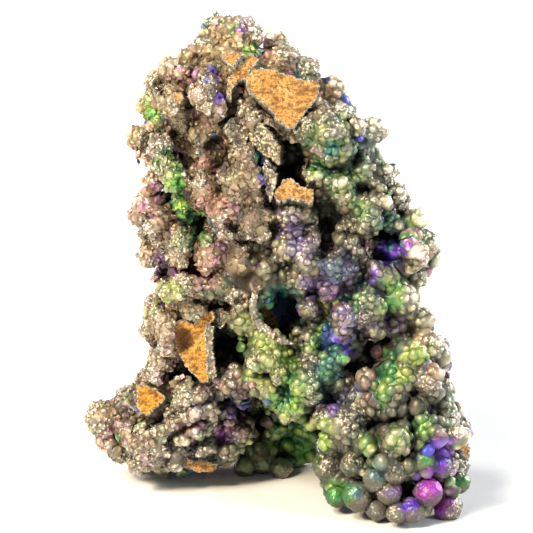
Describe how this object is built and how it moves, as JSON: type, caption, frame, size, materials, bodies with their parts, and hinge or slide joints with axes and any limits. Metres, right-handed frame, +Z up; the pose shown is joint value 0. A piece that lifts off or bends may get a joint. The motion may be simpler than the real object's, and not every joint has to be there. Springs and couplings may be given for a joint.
{
  "type": "goethite specimen",
  "caption": "Free-standing mass of botryoidal goethite with an iridescent skin of clustered balls, ochre broken faces, a round hollow and an arch between its feet.",
  "frame": {"origin": "middle of the bounding box at the plane that the feet stand on", "axes": "+Z up, X to the right of the side that shows best, +Y away from that side"},
  "size_m": [0.0985, 0.0632, 0.1222],
  "materials": {
    "iridescent_goethite": "sub-metallic botryoidal iron oxide with a thin film of rainbow tarnish: gold and pink above, green and blue in the hollows, violet and magenta at the lower right",
    "limonite_ochre": "dull, granular, porous yellow-brown limonite on the broken faces"
  },
  "bodies": {
    "root": {"goethite": "iridescent_goethite"}
  },
  "joints": []
}
